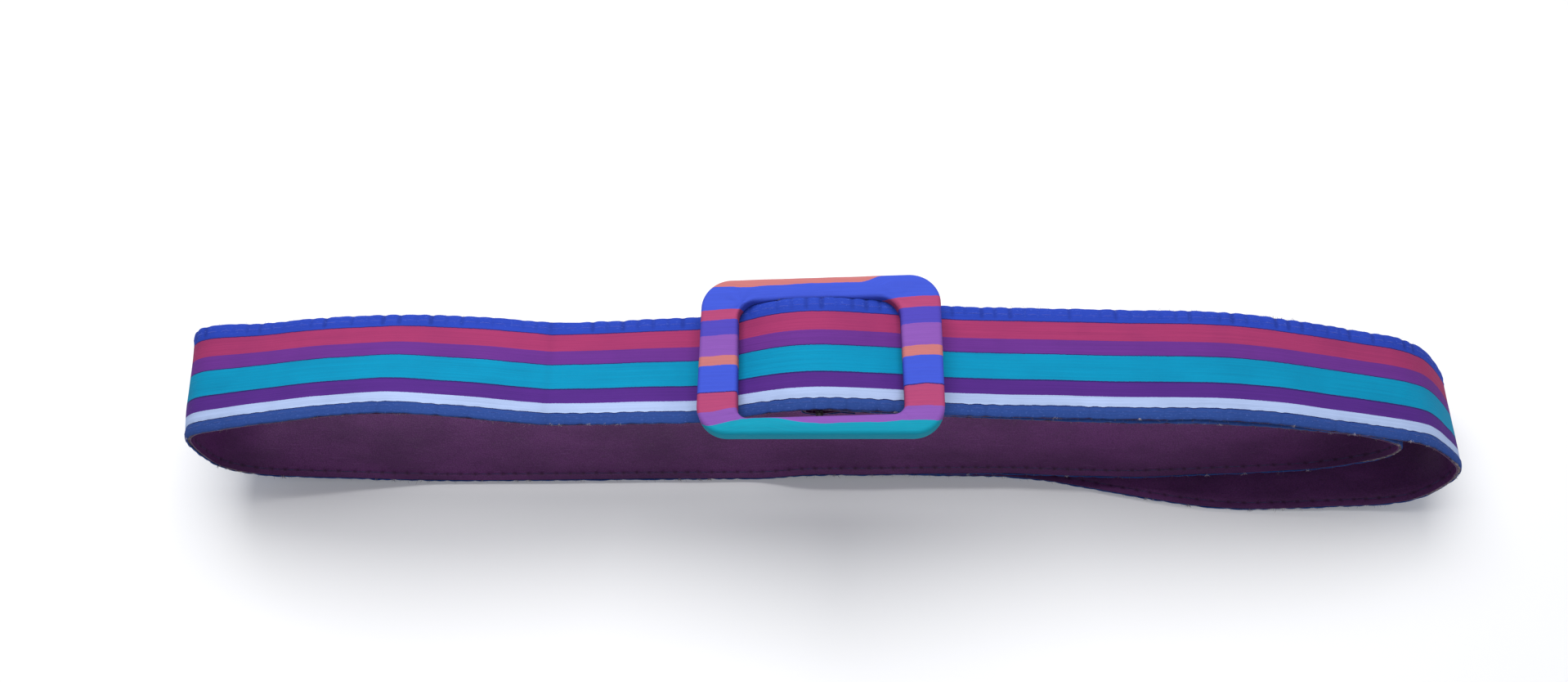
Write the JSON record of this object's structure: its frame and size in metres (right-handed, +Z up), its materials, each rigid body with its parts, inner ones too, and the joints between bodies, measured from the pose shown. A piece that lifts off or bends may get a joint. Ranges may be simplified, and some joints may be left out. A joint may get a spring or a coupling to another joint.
{
  "type": "luggage strap",
  "caption": "Striped fabric strap closed in a flat loop by a fabric-covered rectangular slide buckle, with its loose tail laid outside the first lap.",
  "frame": {"origin": "on the resting plane, under the middle of the part's box", "axes": "+X along the strap from the plain end of the loop to the tail's end, +Y across it to the blue edge, +Z up to the buckle"},
  "size_m": [0.4476, 0.0555, 0.0873],
  "materials": {
    "striped_fabric": "fine woven cotton, lengthwise stripes",
    "core_fibre": "pressed fibre stiffener",
    "plum_lining": "plum vinyl with a fine grain",
    "thread": "sewing thread",
    "cover_fabric": "the strap's fabric, stretched over the frame",
    "shell_metal": "pressed tinplate",
    "plate_metal": "satin",
    "bar_metal": "plain wire"
  },
  "bodies": {
    "strap": {"strap_face": "striped_fabric", "strap_core": "core_fibre", "strap_lining": "plum_lining", "strap_far_stitching": "thread", "strap_near_stitching": "thread", "fold_stitching": "thread"},
    "tail": {"tail_face": "striped_fabric", "tail_core": "core_fibre", "tail_lining": "plum_lining", "tail_far_stitching": "thread", "tail_near_stitching": "thread", "tail_end_stitching": "thread"},
    "buckle": {"buckle_cover": "cover_fabric", "buckle_shell": "shell_metal", "buckle_back_plate": "plate_metal", "centre_bar": "bar_metal"}
  },
  "joints": [
    {"name": "buckle_pivot", "type": "hinge", "parent": "strap", "child": "buckle", "pos_m": [-0.007, 0, 0.0793], "axis": [0, -1, 0], "range_deg": [-0.7, 0.7]},
    {"name": "tail_slide", "type": "slide", "parent": "strap", "child": "tail", "axis": [1, 0, 0], "range_m": [0, 0.025]}
  ]
}
